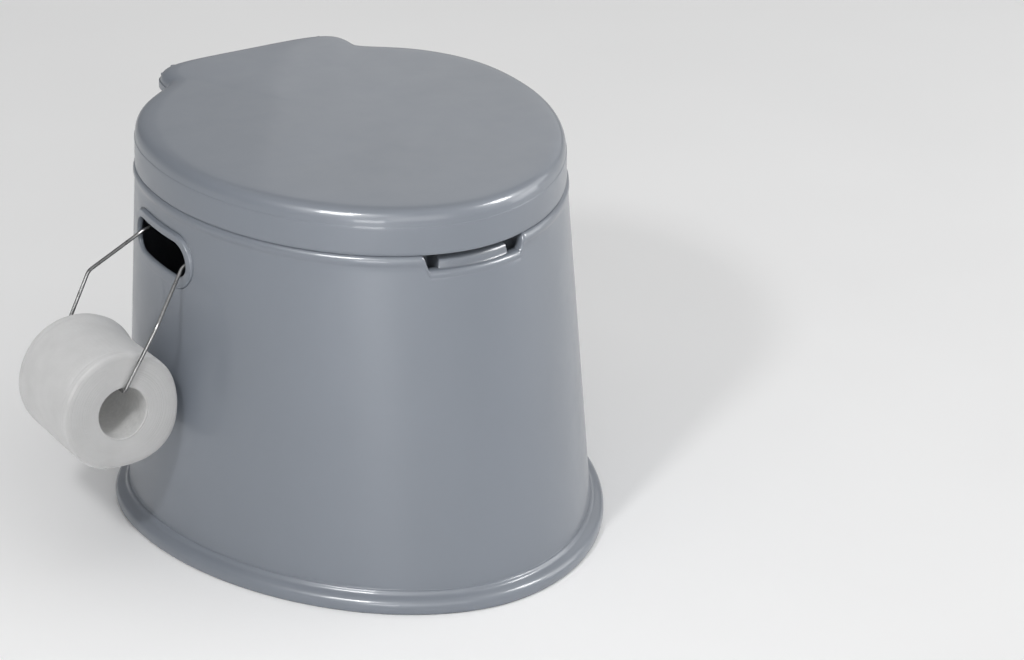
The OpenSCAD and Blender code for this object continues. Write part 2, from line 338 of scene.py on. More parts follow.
def steel_wire():
    """Drawn steel, a little stained and finely scratched."""
    mat, nodes, links, shader = material("steel_look")
    where = nodes.new("ShaderNodeTexCoord").outputs["Object"]
    stains = noise(nodes, links, 90.0, 4.0, 0.6, where)
    vary(nodes, links, stains, 0.2, 0.34, shader.inputs["Base Color"])
    vary(nodes, links, stains, 0.24, 0.38, shader.inputs["Roughness"])
    scratches = noise(nodes, links, 2500.0, 2.0, 0.5, where)
    fine = bump(nodes, links, scratches.outputs["Fac"], 0.2, 0.00003)
    links.new(fine.outputs["Normal"], shader.inputs["Normal"])
    shader.inputs["Metallic"].default_value = 1.0
    return mat


steel_mat = steel_wire()


def roll_coordinates(nodes, links):
    """Object coordinates measured from the roll's middle."""
    where = nodes.new("ShaderNodeTexCoord").outputs["Object"]
    shift = nodes.new("ShaderNodeVectorMath")
    shift.operation = "SUBTRACT"
    shift.inputs[1].default_value = (ROLL_X * 0.001, ROLL_Y * 0.001, ROLL_Z * 0.001)
    links.new(where, shift.inputs[0])
    return shift.outputs["Vector"]


def ends_painted_shade(nodes, links, tone, across):
    """Painted shade: the tone is darkened towards the cut ends and eases in over the shoulder, for
    shading the lights would give there.
    """
    out = nodes.new("ShaderNodeMath")
    out.operation = "ABSOLUTE"
    links.new(across, out.inputs[0])
    share = nodes.new("ShaderNodeMapRange")
    share.interpolation_type = "SMOOTHSTEP"
    share.inputs["From Min"].default_value = (ROLL_HALF - 5.0) / 1000
    share.inputs["From Max"].default_value = (ROLL_HALF - 0.3) / 1000
    share.inputs["To Min"].default_value = 1.0
    share.inputs["To Max"].default_value = 0.72
    links.new(out.outputs["Value"], share.inputs["Value"])
    shaded = nodes.new("ShaderNodeVectorMath")
    shaded.operation = "SCALE"
    links.new(tone, shaded.inputs[0])
    links.new(share.outputs["Result"], shaded.inputs["Scale"])
    return shaded.outputs["Vector"]


def wound_edges(nodes, links, parts, normal):
    """Fine uneven rings round the middle of the roll."""
    flat = nodes.new("ShaderNodeCombineXYZ")
    links.new(parts.outputs["X"], flat.inputs["X"])
    links.new(parts.outputs["Z"], flat.inputs["Y"])
    length = nodes.new("ShaderNodeVectorMath")
    length.operation = "LENGTH"
    links.new(flat.outputs["Vector"], length.inputs[0])
    rings = nodes.new("ShaderNodeTexNoise")
    rings.noise_dimensions = "1D"
    rings.inputs["Scale"].default_value = 700.0
    rings.inputs["Detail"].default_value = 3.0
    links.new(length.outputs["Value"], rings.inputs["W"])
    return bump(nodes, links, rings.outputs["Fac"], 0.55, 0.0006, normal)


def embossing(nodes, links, where, normal):
    """Small soft dimples all over the outer sheet."""
    cells = nodes.new("ShaderNodeTexVoronoi")
    cells.inputs["Scale"].default_value = 210.0
    cells.inputs["Randomness"].default_value = 0.35
    links.new(where, cells.inputs["Vector"])
    return bump(nodes, links, cells.outputs["Distance"], 0.25, 0.0005, normal)


def tissue(name, ends):
    """Soft tissue: embossed on the outside, with the wound edges showing on the ends, and painted
    shade darkening the tone towards both ends.
    """
    mat, nodes, links, shader = material(name)
    where = roll_coordinates(nodes, links)
    parts = nodes.new("ShaderNodeSeparateXYZ")
    links.new(where, parts.inputs["Vector"])
    fibres = noise(nodes, links, 900.0, 4.0, 0.7, where)
    clouds = noise(nodes, links, 45.0, 3.0, 0.5, where)
    tone = ramp(nodes, links, clouds.outputs["Fac"], [(0.3, 0.57), (0.7, 0.62)])
    # painted shade: the base tone is darkened towards the roll's ends
    shaded = ends_painted_shade(nodes, links, tone.outputs["Color"], parts.outputs["Y"])
    links.new(shaded, shader.inputs["Base Color"])
    vary(nodes, links, fibres, 0.82, 0.98, shader.inputs["Roughness"])
    soft = bump(nodes, links, fibres.outputs["Fac"], 0.35, 0.0002).outputs["Normal"]
    if ends:
        detail = wound_edges(nodes, links, parts, soft)
    else:
        detail = embossing(nodes, links, where, soft)
    links.new(detail.outputs["Normal"], shader.inputs["Normal"])
    shader.inputs["Sheen Weight"].default_value = 0.25
    shader.inputs["Sheen Roughness"].default_value = 0.6
    shader.inputs["Subsurface Weight"].default_value = 0.12
    shader.inputs["Subsurface Radius"].default_value = (0.004, 0.004, 0.004)
    return mat


paper_mat = tissue("paper_look", ends=False)
paper_end_mat = tissue("paper_end_look", ends=True)


def grey_board():
    """Rough grey cardboard."""
    mat, nodes, links, shader = material("cardboard_look")
    where = nodes.new("ShaderNodeTexCoord").outputs["Object"]
    fibres = noise(nodes, links, 300.0, 6.0, 0.65, where)
    pale, paler = (0.56, 0.56, 0.555), (0.66, 0.66, 0.655)
    vary(nodes, links, fibres, pale, paler, shader.inputs["Base Color"])
    vary(nodes, links, fibres, 0.75, 0.9, shader.inputs["Roughness"])
    rough = bump(nodes, links, fibres.outputs["Fac"], 0.4, 0.0003)
    links.new(rough.outputs["Normal"], shader.inputs["Normal"])
    return mat


board_mat = grey_board()


def finished(obj, mat, body, slot, *nodes):
    """A piece's material, the body it moves with, a slot name that is not used, and the nodes it
    replaces.
    """
    obj.data.materials.append(mat)
    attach(obj, body)
    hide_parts(*nodes)


# ------------------------ the body
NOTCH_X = 2.2  # the finger notch is a little off the middle
NOTCH_OVAL = 180.0  # half width of the wall's oval at the height of the notch
OPENING_BEHIND, OPENING_AHEAD = 24.1, 20.4  # degrees of wall left out for a handle opening


def front_angle(x):
    """Where the front of the wall has that X, in degrees round its oval."""
    c = math.copysign((abs(x) / NOTCH_OVAL) ** (LIP[3] / 2), x)
    return 360 - math.degrees(math.acos(c))


def body_angles():
    """Columns of the body's mesh, closer together at the notch and the handle openings."""
    # Distances from the middle of the notch.
    near = [0, 6, 12, 18, 24, 29, 32, 33.4, 34.2, 34.9, 35.6, 36.3, 37.2, 38.5, 39.8]
    near += [40.8, 41.6, 42.3, 42.9, 43.5, 44.1, 44.7, 45.4, 46.3, 47.6, 49.5, 52.5]
    right = [front_angle(NOTCH_X + x) for x in near[1:]]
    left = [front_angle(NOTCH_X - x) for x in near[1:]]
    front_low, front_high = min(left), max(right)
    angles = [front_angle(NOTCH_X)] + right + left
    side = [0.75 * i for i in range(-28, 34)]
    angles += [a % 360 for a in side] + [(180 - a) % 360 for a in side]
    # The rest is evenly spaced.
    for a in EVEN_ANGLES:
        in_side = a < 25.5 or a > 338 or 154.5 < a < 202
        in_front = front_low - 0.6 < a < front_high + 0.6
        if not in_side and not in_front:
            angles.append(a)
    return sorted(set(round(a, 6) for a in angles))


ANGLES = body_angles()

# Each row of the top edge, as (outward, height from the lip) for the plain lip, for the
# shelf in the middle of the finger notch, and for the deep gap at each end of that shelf.
# The outer edge of the notch is the same for the shelf and the gaps.
LIP_ROWS = [
    (0, -30), (0, -22), (0, -14), (0, -9.4), (0.3, -8.2), (0.95, -6.9), (1.32, -5.1),
    (1.28, -3.2), (0.8, -1.6), (-0.2, -0.5), (-1.6, 0), (-3.2, 0), (-4.8, -0.3),
    (-6.0, -1.2), (-6.7, -2.6), (-7.2, -4.2), (-8.0, -5.0), (-9.4, -5.2), (-11, -5.2),
    (-13, -5.2), (-15, -5.2), (-17, -5.15), (-19, -5.1), (-22, -5),
]
NOTCH_EDGE = [
    (0, -30), (0, -24), (0, -20.6), (-0.2, -19.7), (-0.3, -19.2), (0.1, -18.3),
    (0.3, -17.0), (0.2, -15.6), (-0.5, -14.3), (-1.7, -13.4), (-3.2, -13.0),
]
SHELF_ROWS = NOTCH_EDGE + [
    (-4.6, -13.1), (-5.6, -13.6), (-6.2, -13.9), (-6.7, -13.3), (-7.0, -11.6), (-7.4, -9.2),
    (-8.1, -7.2), (-9.3, -6.1), (-10.9, -5.7), (-13, -5.5), (-16, -5.3), (-19, -5.1), (-22, -5),
]
GAP_ROWS = NOTCH_EDGE + [
    (-5.0, -12.9), (-7.2, -12.9), (-8.9, -13.1), (-9.9, -13.9), (-10.4, -15.8), (-10.7, -22),
    (-11.2, -33), (-13.5, -39.5), (-22, -40.5), (-29.5, -38.5), (-31.5, -30), (-32.5, -14),
    (-34, -5),
]
# The foot from the floor up to the wall, as (outward, height).
FOOT_ROWS = [
    (9.0, 0), (10.3, 0.3), (11.2, 1.3), (11.75, 3.0), (12, 5), (12, 7), (11.8, 8.8),
    (11.3, 10.3), (10.4, 11.5), (9.2, 12.4), (7.4, 13.3), (5.4, 14.1), (4.0, 14.7),
    (3.1, 15.4), (2.6, 16.3), (2.2, 17.2), (1.6, 17.9), (0.8, 18.1), (0.15, 18.1),
    (-0.05, 18.4), (0, 19.2), (0, 22),
]
WALL_ROWS = [28, 42, 62, 90, 120, 150, 180, 205, 223]
# Heights of the rows beside the handle openings, which end beside the lip's first three rows.
OPENING_ROWS = [236, 241, 246, 251, 256, 261, 266, 271, 275.5]


def notch_weights(x, y):
    """How much of the lip, the shelf and the gap rows there is at a point."""
    if y > 0:
        return 1.0, 0.0, 0.0
    across = abs(x - NOTCH_X)
    lip = smooth(42.8, 48.4, across)
    shelf = 1 - smooth(33.6, 36.6, across)
    return lip, shelf, max(0.0, 1 - lip - shelf)


WEIGHTS = [notch_weights(*oval_point(wall(TOP - 14), a)) for a in ANGLES]
# Round the hole in the top and the ledge that the bucket hangs on, as (outward, height).
HOLE_ROWS = [
    (10.6, -5.0), (9.7, -5.3), (9.1, -6.2), (9, -7.5), (9, -11.2), (8.7, -11.8), (8, -12),
    (1.3, -12), (0.7, -12.3), (0.5, -13), (0.5, -14.7), (0.8, -15.3), (1.4, -15.5),
    (12, -15.5), (13.2, -15), (13.5, -14), (13.5, -8.5),
]


def wall_row(d, z):
    """A row at a height, moved outward by d from the wall's outer face."""
    return [(*oval_point(wall(z, d), a), z) for a in ANGLES]


def lip_row(lip, shelf, gap):
    """The pits at the ends of the notch are undercut behind the ends of the lip."""
    under = 8.0 * smooth(-8.5, -10.5, gap[0]) * smooth(-34, -31, gap[0])
    row = []
    for a, w in zip(ANGLES, WEIGHTS):
        d = lip[0] * w[0] + shelf[0] * w[1] + gap[0] * w[2]
        z = TOP + lip[1] * w[0] + shelf[1] * w[1] + gap[1] * w[2]
        x, y = oval_point(wall(z, d), a)
        if w[1] < 0.5 and 0 < w[0] < 1:
            x += math.copysign(under * min(1, 4 * w[0] * (1 - w[0]) + w[2] * 0.4), x)
        row.append((x, y, z))
    return row


# How much of the plain inside there is in each column; the rest is behind the notch.
PLAIN_SHARES = [
    1.0 if a < 180 else smooth(60, 72, abs(p[0])) for a, p in zip(ANGLES, wall_row(*FOOT_ROWS[0]))
]


def inner_row(z, d_plain, d_notch):
    """A row of the inside, which stands further in behind the notch."""
    row = []
    for a, share in zip(ANGLES, PLAIN_SHARES):
        d = d_notch + (d_plain - d_notch) * share
        row.append((*oval_point(wall(z, d), a), z))
    return row


def body_rows():
    """Rows up the outside, over the lip, round the hole and down the inside; and the first
    and the last row beside the handle openings, on the outside and on the inside."""
    rows = [wall_row(d, z) for d, z in FOOT_ROWS]
    rows += [wall_row(0, z) for z in WALL_ROWS]
    outer_start = len(rows)
    outer_end = outer_start + len(OPENING_ROWS) + 2
    rows += [wall_row(0, z) for z in OPENING_ROWS]
    rows += [lip_row(*three) for three in zip(LIP_ROWS, SHELF_ROWS, GAP_ROWS)]
    rows += [[(*oval_point(grow(HOLE, d), a), TOP + z) for a in ANGLES] for d, z in HOLE_ROWS]
    rows += [inner_row(TOP - 8.5, -26, -38), inner_row(TOP - 8.5, -12, -37)]
    rows += [inner_row(TOP - 8.6, -5.5, -36.5), inner_row(TOP - 10.5, -3.4, -36)]
    inner_start = len(rows)
    for z in [TOP - 14, TOP - 22, TOP - 30] + list(reversed(OPENING_ROWS)):
        deep = -35 if z > TOP - 43 else -SHELL - 30 * smooth(TOP - 66, TOP - 43, z)
        rows.append(inner_row(z, -SHELL, deep))
    inner_end = len(rows) - 1
    rows += [inner_row(z, -SHELL, -SHELL) for z in (200, 150, 100, 60, 30, 18)]
    for d, z in [(1.5, 14), (5, 11), (6.5, 7), (6.5, 1), (7, 0.2), (7.6, 0)]:
        rows.append([(*oval_point(wall(0, d), a), z) for a in ANGLES])
    return rows, (outer_start, outer_end), (inner_start, inner_end)


def opening_columns():
    """The columns across the right and the left handle opening, in the order of their angle."""
    ahead = [j for j, a in enumerate(ANGLES) if a >= 360 - OPENING_AHEAD]
    behind = [j for j, a in enumerate(ANGLES) if a <= OPENING_BEHIND]
    left = [
        j for j, a in enumerate(ANGLES) if 180 - OPENING_BEHIND <= a <= 180 + OPENING_AHEAD
    ]
    return ahead + behind, left


def opening_border(columns, levels):
    """The body's points round a handle opening, from its lowest row upwards and round."""
    m = len(ANGLES)
    border = [levels[0] * m + j for j in columns]
    border += [i * m + columns[-1] for i in levels[1:-1]]
    border += [levels[-1] * m + j for j in reversed(columns)]
    border += [i * m + columns[0] for i in reversed(levels[1:-1])]
    return border


def add_opening(points, faces, side, outer, inner):
    """A handle opening, from its border in the outside to its border in the inside."""
    # Where each border point sits round the opening: along it, and a direction.
    places = []
    for index in outer:
        y, z = points[index][1] - HANDLE_Y, points[index][2] - HANDLE_Z
        u = max(-HANDLE_HALF, min(HANDLE_HALF, y))
        length = math.hypot(y - u, z)
        places.append((u / HANDLE_HALF, (y - u) / length, z / length))

    def proud(y, z):
        """The surround's face is upright, so it stands proud of the leaning wall."""
        return wall_x(y, HANDLE_Z - 30) - wall_x(y, z)

    def groove(y, z):
        """The crease round the surround fades out along its bottom."""
        return max(smooth(-23, -12, z - HANDLE_Z), smooth(-26, -38, y - WIDEST))

    def loop(r, half, lower, outward):
        base = len(points)
        for u, dy, dz in places:
            y, z = HANDLE_Y + u * half + r * dy, HANDLE_Z - lower + r * dz
            points.append((side * (wall_x(y, z) + outward(y, z)), y, z))
        return list(range(base, len(points)))

    loops = [outer]
    for r, share, crease in [
        (26.6, 0, 0), (25.5, 0, 0), (25.15, 0, 0.25), (24.95, 0, 0.9), (24.7, 0, 1.1),
        (24.5, 0, 0.8), (24.35, 0.3, 0.15), (24.2, 0.7, 0), (23.95, 0.9, 0), (23.5, 0.98, 0),
        (22.8, 1, 0), (21.2, 1, 0), (19.4, 1, 0), (17.8, 1, 0),
    ]:
        loops.append(
            loop(r, 29, 1.5, lambda y, z: share * proud(y, z) - crease * groove(y, z))
        )
    for wider, inward in [(1.4, 0.12), (0.8, 0.45), (0.35, 0.95), (0.1, 1.6), (0, 2.4)]:
        loops.append(
            loop(HANDLE_R + wider, HANDLE_HALF, 0, lambda y, z: proud(y, z) - inward)
        )
    for wider, inward in [(0, 2.2), (0.3, 2.75), (1, SHELL), (5.5, SHELL), (9.5, SHELL)]:
        loops.append(loop(HANDLE_R + wider, HANDLE_HALF, 0, lambda y, z: -inward))
    # The inner border runs the same way round from the same corner.
    loops.append(inner)
    for first, second in zip(loops, loops[1:]):
        for i in range(len(first)):
            j = (i + 1) % len(first)
            faces.append((first[i], first[j], second[j], second[i]))


def body_shell():
    """One closed skin: outside, inside and both handle openings."""
    rows, outer, inner = body_rows()
    n, m = len(rows), len(ANGLES)
    points = [p for row in rows for p in row]
    left_out = set()
    for columns in opening_columns():
        for i in [*range(*outer), *range(*inner)]:
            left_out.update((i, j) for j in columns[:-1])
    faces = []
    for i in range(n):
        u = (i + 1) % n
        for j in range(m):
            k = (j + 1) % m
            if (i, j) not in left_out:
                faces.append((i * m + j, i * m + k, u * m + k, u * m + j))
    for columns, side in zip(opening_columns(), (1, -1)):
        outer_border = opening_border(columns, range(outer[0], outer[1] + 1))
        inner_border = opening_border(columns, range(inner[1], inner[0] - 1, -1))
        add_opening(points, faces, side, outer_border, inner_border)
    return points, faces


def hinge_arm():
    """The arm that carries a knuckle of the body."""
    outline = [(200.5, TOP - 8), (209.5, TOP - 8), (209.8, AXIS_Z - 9.5), (212, AXIS_Z - 7.4)]
    outline += [(AXIS_Y - 4, AXIS_Z - 7.4)] + arc(AXIS_Y, AXIS_Z, BARREL_R, -85, 110, 26)
    outline += [(AXIS_Y - 7, AXIS_Z + 5.7), (204, AXIS_Z + 5.6), (201.2, AXIS_Z + 4.6)]
    outline += [(200.5, AXIS_Z + 2.4)]
    return prism(outline, KNUCKLE_X - 8, KNUCKLE_X + 8, 0.7, 3)


BOSS_X, BOSS_BACK, BOSS_HALF = 87.5, 199.8, 5.5


def rear_boss():
    """A raised end of the hinge recess, with a slot down its middle."""
    base = TOP - 7
    half = [(-BOSS_HALF, base), (-BOSS_HALF, base + 16)]
    for degrees in (15, 30, 45, 60, 72):
        t = math.radians(degrees)
        half.append((-BOSS_HALF * math.cos(t), base + 16 + BOSS_HALF * math.sin(t)))
    half += [(-1.6, base + 20.6), (-1.5, base + 11.5), (-1.5, base + 11)]
    outline = half + [(-x, z) for x, z in reversed(half)]
    points, faces = prism(outline, BOSS_BACK - 7, BOSS_BACK, 0.5, 2, "y")
    return [(x + BOSS_X, y, z) for x, y, z in points], faces


arm, boss = hinge_arm(), rear_boss()
body_parts = joined(body_shell(), arm, mirrored(arm), boss, mirrored(boss))
body = mesh_object("body_shell", *body_parts, sharp=50)


# ------------------------ the lid
LID_WIDTH = LIP[0] + 0.4
TAIL_Y, TAIL_WIDTH, TAIL_LENGTH = 148.0, 95.0, 54.5  # middle, from the widest section; halves


def lid_half(y, d):
    """Half width of the lid at y behind its widest section: the oval joined to the tail."""
    oval_width, oval_length = LID_WIDTH - d, LIP[2] - d
    tail_width, t = TAIL_WIDTH - d, abs(y - TAIL_Y) / (TAIL_LENGTH - d)
    n = LIP[4]
    oval = 0 if y >= oval_length else oval_width * (1 - (y / oval_length) ** n) ** (1 / n)
    tail = 0 if t >= 1 else tail_width * (1 - t**5) ** 0.2
    return (oval**7 + tail**7) ** (1 / 7)


def lid_point(degrees, d, k=1.0):
    """A point of the lid's outline moved inward by d, then drawn toward the middle by k."""
    c, s = math.cos(math.radians(degrees)), math.sin(math.radians(degrees))
    if s < 0:
        x, y = oval_point((LID_WIDTH - d, *grow(LIP, -1 - d)[1:]), degrees)
        return x * k, WIDEST + (y - WIDEST) * k
    y = (TAIL_Y + TAIL_LENGTH - d) * s
    x = math.copysign(0 if abs(c) < 0.001 else lid_half(y, d), c)
    return x * k, WIDEST + y * k


def lid_angles():
    """Closer together at the squared corners of the tail, where the outline turns fast."""
    corner = [i + step for i in range(54, 90) for step in (0.25, 0.5, 0.75)]
    return sorted(set(EVEN_ANGLES + corner + [180 - a for a in corner]))


LID_ANGLES = lid_angles()


def rise(y):
    """How much higher the skirt's edge is along the tail."""
    return 23.5 * smooth(TAIL_Y, TAIL_Y + 24, y - WIDEST)


def lid_ring(d, z, k=1.0):
    """A level ring on the lid's outline; z is its height from the skirt's upper edge."""
    return [(*lid_point(a, d, k), LID_EDGE + z) for a in LID_ANGLES]


def skirt_ring(d, up):
    """A ring of the skirt; up is its height from the edge where the skirt is highest."""
    ring = []
    for a in LID_ANGLES:
        x, y = lid_point(a, d)
        low = LID_BASE + rise(y)
        ring.append((x, y, low + up * (LID_EDGE - low) / SKIRT))
    return ring


def lid_shell():
    """From the middle underneath, round the skirt's edge, to the middle of the top."""
    rows = [
        lid_ring(d, z, k)
        for d, z, k in [
            (8, 7.8, 0.02), (8, 7.8, 0.3), (8, 7.2, 0.6), (8, 6.2, 0.85), (12, 5.2, 1),
            (8.5, 4.9, 1), (6, 4.1, 1), (4.8, 2.8, 1), (4.1, 1, 1),
        ]
    ]
    rows += [
        skirt_ring(d, up)
        for d, up in [
            (3.2, 20), (3, 3), (2.8, 0.7), (2.3, 0.1), (1.4, 0), (0.75, 0.15), (0.4, 0.8),
            (0.35, 3), (0.45, 14), (0.55, 22), (0.6, 24.8), (0.72, 25.3), (0.98, 25.5),
            (1.08, 25.9), (1.12, 26.5),
        ]
    ]
    shoulder = [(1.2, -3.6), (1.75, 0.5), (3.7, 4.9), (7.2, 7.4), (12.5, 8.35), (20.0, 8.75)]
    rows += [lid_ring(d, z) for d, z in rounded(shoulder, (0,), 4)]
    rows += [lid_ring(20, z, k) for z, k in [(9.2, 0.85), (9.8, 0.6), (10.35, 0.3), (10.5, 0.02)]]
    return skin(rows)


def lid_lug():
    """The lug inside the tail that the hinge pin goes through."""
    outline = arc(AXIS_Y, AXIS_Z, BARREL_R, 180, 360, 28)
    outline += [(AXIS_Y + 6.5, AXIS_Z + 10), (AXIS_Y + 6, AXIS_Z + 15), (AXIS_Y - 8, AXIS_Z + 15)]
    return prism(outline, 70.5, 74.5, 0.5, 2)


def lid_ribs():
    """Two thin ribs inside each ear of the tail, between the lug and the skirt."""
    first = block((74.2, AXIS_Y - 5, AXIS_Z + 2), (88.6, AXIS_Y - 3.4, AXIS_Z + 13.5), 0.3, 1)
    second = block((80, AXIS_Y - 22, AXIS_Z + 4), (81.4, AXIS_Y + 1, AXIS_Z + 13.5), 0.3, 1)
    return joined(first, second)


def cut(obj, *cutters):
    """Takes the cutters out of the mesh, and throws the cutters away."""
    for cutter in cutters:
        tool = mesh_object("cutter", *cutter, sharp=0)
        modifier = obj.modifiers.new("cut", "BOOLEAN")
        modifier.operation = "DIFFERENCE"
        modifier.solver = "EXACT"
        modifier.object = tool
        graph = bpy.context.evaluated_depsgraph_get()
        mesh = bpy.data.meshes.new_from_object(obj.evaluated_get(graph))
        obj.modifiers.clear()
        old, obj.data = obj.data, mesh
        bpy.data.meshes.remove(old)
        bpy.data.objects.remove(tool)


def knuckle_slot(x):
    """The slot in the end of the tail that a body arm reaches through."""
    return block((x - 9.2, AXIS_Y + 2, AXIS_Z - 8), (x + 9.2, AXIS_Y + 32, AXIS_Z + 12), 0, 0)


lid_cap = mesh_object("lid_cap", *lid_shell(), sharp=0)
cut(lid_cap, knuckle_slot(KNUCKLE_X), knuckle_slot(-KNUCKLE_X))


def rejoin(obj, name, *parts, sharp):
    """One object of an object's mesh and more closed parts."""
    own = [tuple(c * 1000 for c in v.co) for v in obj.data.vertices]
    faces = [tuple(p.vertices) for p in obj.data.polygons]
    bpy.data.objects.remove(obj)
    return mesh_object(name, *joined((own, faces), *parts), sharp=sharp)


lug, ribs = lid_lug(), lid_ribs()
lid = rejoin(lid_cap, "lid_panel", lug, mirrored(lug), ribs, mirrored(ribs), sharp=32)


# ------------------------ the seat
def even(e, d, z):
    """A ring of points on an oval moved outward by d."""
    return [(*oval_point(grow(e, d), a), z) for a in EVEN_ANGLES]


def ovals(e, profile):
    """Rings for a profile of (outward, height from the lip)."""
    return [even(e, d, TOP + z) for d, z in profile]


def seat_between(profile):
    """Rings between the seat's edge and its hole, for a profile of (share, height)."""
    return [even(mix(SEAT, HOLE, t), 0, TOP + z) for t, z in profile]


def seat_ring():
    """Up the outside, over the top, down the hole and back underneath."""
    rows = ovals(SEAT, [
        (-0.6, -3.4), (-0.1, -2.9), (0, -2), (-0.15, 2), (-0.5, 6), (-1.1, 9), (-2.1, 11.4),
        (-3.7, 13.5), (-6, 15.1), (-9.4, 16.5), (-14, 17.6), (-20, 18.5),
    ])
    rows += seat_between([(0.4, 18.95), (0.48, 19), (0.56, 18.8), (0.64, 18.3), (0.72, 17.4)])
    rows += ovals(HOLE, [
        (14, 16.3), (11, 15.2), (8.2, 13.7), (5.6, 11.8), (3.4, 9.6), (1.8, 7.2), (0.7, 4.4),
        (0.15, 1), (0, -2.3), (0.25, -3.1), (0.9, -3.5), (2.2, -3.5), (2.9, -3.1), (3.1, -2),
        (3.5, 3.5), (4.5, 6.6), (6.2, 9),
    ])
    rows += seat_between([(0.7, 14), (0.45, 15.8)])
    rows += ovals(SEAT, [(-14, 14.6), (-7, 11.5), (-4, 6), (-3.1, -2.6), (-2.7, -3.3), (-2, -3.5)])
    return skin(rows, True)


def seat_tongue():
    """From the back of the ring up to the barrel, with a hollow either side of its crown."""
    outline = [(190, TOP + 9), (200, TOP + 5.2), (214, TOP + 9.6), (AXIS_Y - 8, AXIS_Z - 7)]
    outline += arc(AXIS_Y, AXIS_Z, BARREL_R, -95, 100, 28)
    outline += [(AXIS_Y - 6, AXIS_Z + 5.8), (AXIS_Y - 10, AXIS_Z + 2.8), (AXIS_Y - 16, TOP + 20.4)]
    outline += [(210, TOP + 17.9), (203, TOP + 16.8), (190, TOP + 14.8)]
    half = KNUCKLE_X - 10.5
    return prism(outline, -half, half, 0.9, 3)


seat = mesh_object("seat_panel", *joined(seat_ring(), seat_tongue()), sharp=40)


# ------------------------ the bucket and its lid
BUCKET_FLOOR = 72.0  # height of the bucket's underside


def bucket():
    """From under the floor up the outside, over the rim and down the inside."""
    foot = [(-60, 0.8), (-8, 0), (-4.5, 0.2), (-1.8, 1), (-0.3, 2.6), (0, 5)]
    rows = [even(BUCKET_LOW, d, BUCKET_FLOOR + z) for d, z in foot]
    low, high = BUCKET_FLOOR + 5, TOP - 20
    for t in (0.2, 0.4, 0.6, 0.8, 1.0):
        rows.append(even(mix(BUCKET_LOW, grow(HOLE, -4), t), 0, low + (high - low) * t))
    rows += ovals(HOLE, [
        (-1.2, -13.2), (-1, -12.4), (-1, -11.7), (0, -11.5), (6.6, -11.5), (7.6, -11.1),
        (8, -10.2), (8, -9), (7.7, -7.9), (7, -6.9), (5.6, -5.9), (3.6, -5.2), (1.6, -5),
        (0, -5.3), (-1.6, -6), (-3, -7.2), (-3.9, -8.8), (-4.4, -11), (-4.9, -16.4),
        (-5.4, -17), (-7, -17), (-7.3, -17.4), (-7, -22),
    ])
    high, low = TOP - 22, BUCKET_FLOOR + 6
    for t in (0.3, 0.6, 0.9):
        between = mix(grow(HOLE, -6.8), grow(BUCKET_LOW, -2.5), t)
        rows.append(even(between, 0, high + (low - high) * t))
    inside = [(-2.6, 7), (-3.6, 4.2), (-6, 2.8), (-60, 2.8)]
    rows += [even(BUCKET_LOW, d, BUCKET_FLOOR + z) for d, z in inside]
    return skin(rows)


bucket_obj = mesh_object("bucket_shell", *bucket(), sharp=50)

RECESS_Y = 28.0  # middle of the round finger recess in the cover


def recess_rings(profile):
    """Round rings for a profile of (radius, height from the lip)."""
    return [even((0, 0, 0, 2, 2, RECESS_Y), r, TOP + z) for r, z in profile]


def bucket_cover():
    """From the middle of the recess underneath, round the edge, to its middle on top."""
    rows = recess_rings([(1, -29.8), (30, -29.8), (55, -29.8), (58, -28.8), (61.3, -23.6)])
    rows += ovals(HOLE, [
        (-20, -18.3), (-9.2, -18.8), (-8.5, -18.2), (-8.3, -16.7), (-5.6, -16.6), (-5.3, -16),
        (-5.35, -14.8), (-5.8, -14), (-6.7, -13.5), (-8, -13.5), (-9.6, -14.1), (-12.5, -15.1),
        (-17, -15.7), (-22, -15.9),
    ])
    rows += recess_rings([
        (62.5, -15.7), (61.6, -15.75), (60.9, -16.1), (60.4, -16.9), (60.1, -18), (58.8, -22.5),
        (57.4, -25.6), (56.3, -26.9), (54.6, -27.5), (52, -27.6), (30, -27.6), (1, -27.6),
    ])
    return skin(rows)


def grip_bar():
    """The straight bar across the recess, waisted in the middle and rounded on top."""
    rings = []
    count = 48
    for i in range(count + 1):
        t = -1 + 2 * i / count
        y = RECESS_Y + 58.5 * t
        half = 7.6 - 1.6 * math.cos(math.pi * t / 2) ** 2 + 3.2 * abs(t) ** 9
        profile = [
            (-half - 0.8, -28.2), (-half - 0.4, -26.5), (-half, -24), (-half + 0.1, -18.8),
            (-half + 0.5, -17.2), (-half + 1.4, -16.2), (-half + 2.8, -15.75),
        ]
        profile += [(-x, z) for x, z in reversed(profile)]
        rings.append([(x, y, TOP + z) for x, z in profile])
    return skin(rings)


def cover_ridges():
    """Two low curved ribs on the floor of the recess, either side of the bar."""
    parts = []
    for side in (1, -1):
        rings = []
        for i in range(33):
            t = math.radians(-62 + 124 * i / 32)
            c, s = side * math.cos(t), math.sin(t)
            ring = []
            for k in range(10):
                u = 2 * math.pi * k / 10
                r = 41 + 1.6 * math.cos(u)
                ring.append((r * c, RECESS_Y + r * s, TOP - 27.6 + 1.3 * math.sin(u)))
            rings.append(ring)
        parts.append(skin(rings))
    return joined(*parts)


cover_parts = joined(bucket_cover(), grip_bar(), cover_ridges())
cover = mesh_object("bucket_cover", *cover_parts, sharp=45)


# ------------------------ the roll and its holder
BEND_X, BEND_Z = 169.0, TOP - 43  # where the hooks turn down inside the handle opening
HOOK, BAR = 41.0, ROLL_HALF + 13  # half the distance between the hooks, half the bar
WIRE_R = 1.6
BAR_Z = ROLL_Z + CORE_R - WIRE_R - 0.25  # the roll hangs on the bar


